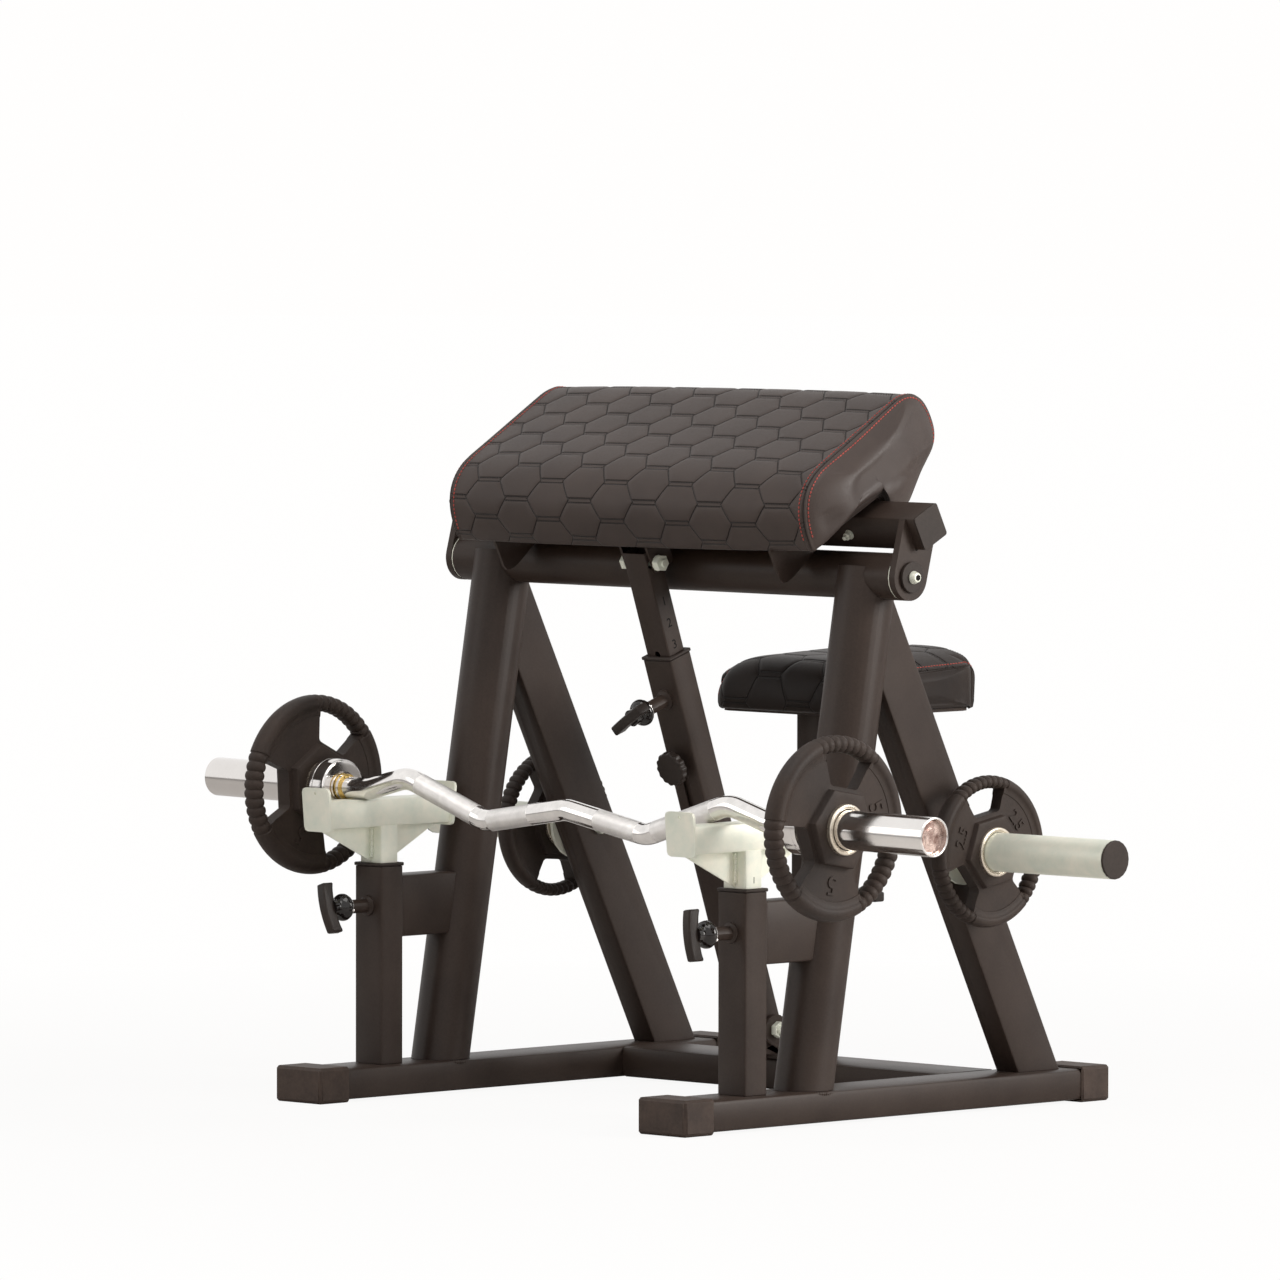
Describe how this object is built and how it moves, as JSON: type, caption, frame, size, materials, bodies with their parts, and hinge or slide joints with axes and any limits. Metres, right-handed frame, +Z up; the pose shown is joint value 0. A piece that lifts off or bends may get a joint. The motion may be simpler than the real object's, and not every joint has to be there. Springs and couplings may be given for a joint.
{
  "type": "preacher curl bench",
  "caption": "Preacher curl bench with a tilting quilted arm pad, height-adjustable seat and bar rests, a loaded curl bar and side storage pegs.",
  "frame": {"origin": "on the floor, under the middle of the whole object's bounding box", "axes": "+X along the crossbar to the right as seen from the bar rests, +Y from the bar rests to the seat, +Z up"},
  "size_m": [1.3196, 0.8184, 0.924],
  "materials": {
    "black_steel": "fine textured powder coat",
    "zinc": "satin zinc plate",
    "chrome": "polished",
    "black_plastic": "satin",
    "boot_rubber": "matt",
    "coated_iron": "matt rubber coating",
    "leather": "fine grained",
    "plywood": "bare"
  },
  "bodies": {
    "frame": {"rail_left": "black_steel", "rail_right": "black_steel", "cross_rail": "black_steel", "boot_front_left": "boot_rubber", "boot_front_right": "boot_rubber", "boot_rear_left": "boot_rubber", "boot_rear_right": "boot_rubber", "front_leg_left": "black_steel", "front_leg_right": "black_steel", "rear_leg_left": "black_steel", "rear_leg_right": "black_steel", "crossbar": "black_steel", "pivot_pin_left": "zinc", "pivot_pin_right": "zinc", "pivot_disc_left": "black_plastic", "pivot_disc_right": "black_plastic", "rest_post_left": "black_steel", "rest_post_right": "black_steel", "collar_left": "black_plastic", "collar_right": "black_plastic", "collar_seat": "black_plastic", "collar_strut": "black_plastic", "brace_left": "black_steel", "brace_right": "black_steel", "storage_peg_left": "zinc", "storage_peg_right": "zinc", "peg_cap_left": "black_plastic", "peg_cap_right": "black_plastic", "strut_bracket": "black_steel", "strut_base_bolt": "zinc", "seat_sleeve": "black_steel", "strut_outer_tube": "black_steel"},
    "pad_carriage": {"carriage_tube": "black_steel", "carriage_cap_left": "black_plastic", "carriage_cap_right": "black_plastic", "pivot_plate_left": "black_steel", "pivot_plate_right": "black_steel", "pad_arm_left": "black_steel", "pad_arm_right": "black_steel", "clevis": "black_steel", "clevis_bolt": "zinc", "pad_board": "plywood", "arm_pad": "leather"},
    "strut_upper": {"strut_inner_tube": "black_steel"},
    "knob": {"clamp_knob": "black_plastic"},
    "pin_left": {"pull_pin_left": "black_plastic"},
    "pin_right": {"pull_pin_right": "black_plastic"},
    "pin_strut": {"pull_pin_strut": "black_plastic"},
    "pin_seat": {"pull_pin_seat": "black_plastic"},
    "seat": {"seat_post": "black_steel", "seat_pad": "leather"},
    "rest_left": {"cradle_left": "zinc"},
    "rest_right": {"cradle_right": "zinc"},
    "bar": {"ez_bar": "chrome"},
    "bar_sleeve_left": {"sleeve_left": "chrome"},
    "bar_sleeve_right": {"sleeve_right": "chrome"},
    "disc_5_left": {"weight_5_left": "coated_iron"},
    "disc_5_right": {"weight_5_right": "coated_iron"},
    "disc_2_5_left": {"weight_2_5_left": "coated_iron"},
    "disc_2_5_right": {"weight_2_5_right": "coated_iron"}
  },
  "joints": [
    {"name": "pad_tilt", "type": "hinge", "parent": "frame", "child": "pad_carriage", "pos_m": [-0.04249, -0.02725, 0.692], "axis": [1, 0, 0], "range_deg": [0, 49.7]},
    {"name": "strut_slide", "type": "slide", "parent": "frame", "child": "strut_upper", "axis": [0, -0.3282, 0.9446], "range_m": [-0.0601, 0]},
    {"name": "knob_turn", "type": "hinge", "parent": "strut_upper", "child": "knob", "pos_m": [-0.04249, -0.0284, 0.438], "axis": [0, -0.9446, -0.3282], "continuous": true},
    {"name": "pin_left_pull", "type": "slide", "parent": "frame", "child": "pin_left", "axis": [0, -1, 0], "range_m": [0, 0.01], "stiffness_N_per_m": 500, "springref_m": -0.012},
    {"name": "pin_right_pull", "type": "slide", "parent": "frame", "child": "pin_right", "axis": [0, -1, 0], "range_m": [0, 0.01], "stiffness_N_per_m": 500, "springref_m": -0.012},
    {"name": "pin_strut_pull", "type": "slide", "parent": "frame", "child": "pin_strut", "axis": [0, -0.9446, -0.3282], "range_m": [0, 0.01], "stiffness_N_per_m": 500, "springref_m": -0.012},
    {"name": "pin_seat_pull", "type": "slide", "parent": "frame", "child": "pin_seat", "axis": [0, 1, 0], "range_m": [0, 0.01], "stiffness_N_per_m": 500, "springref_m": -0.012},
    {"name": "seat_slide", "type": "slide", "parent": "frame", "child": "seat", "axis": [0, 0, 1], "range_m": [-0.05, 0.09]},
    {"name": "rest_left_slide", "type": "slide", "parent": "frame", "child": "rest_left", "axis": [0, 0, 1], "range_m": [0, 0.12]},
    {"name": "rest_right_slide", "type": "slide", "parent": "frame", "child": "rest_right", "axis": [0, 0, 1], "range_m": [0, 0.12]},
    {"name": "bar_lift", "type": "slide", "parent": "rest_left", "child": "bar", "axis": [0, 0, 1], "range_m": [0, 0.3]},
    {"name": "sleeve_left_spin", "type": "hinge", "parent": "bar", "child": "bar_sleeve_left", "pos_m": [0.01251, -0.29225, 0.39723], "axis": [0.9999, 0, -0.0137], "continuous": true},
    {"name": "sleeve_right_spin", "type": "hinge", "parent": "bar", "child": "bar_sleeve_right", "pos_m": [0.01251, -0.29225, 0.39723], "axis": [0.9999, 0, -0.0137], "continuous": true},
    {"name": "disc_5_left_slide", "type": "slide", "parent": "bar_sleeve_left", "child": "disc_5_left", "axis": [-0.9999, 0, 0.0137], "range_m": [0, 0.215]},
    {"name": "disc_5_right_slide", "type": "slide", "parent": "bar_sleeve_right", "child": "disc_5_right", "axis": [0.9999, 0, -0.0137], "range_m": [-0.0047, 0.21]},
    {"name": "disc_2_5_left_slide", "type": "slide", "parent": "frame", "child": "disc_2_5_left", "axis": [-1, 0, 0], "range_m": [0, 0.26]},
    {"name": "disc_2_5_right_slide", "type": "slide", "parent": "frame", "child": "disc_2_5_right", "axis": [1, 0, 0], "range_m": [0, 0.26]}
  ],
  "couplings": [
    {"joint": "strut_slide", "follows": "pad_tilt", "m_per_rad": -0.0692},
    {"joint": "rest_right_slide", "follows": "rest_left_slide", "ratio": 1}
  ]
}
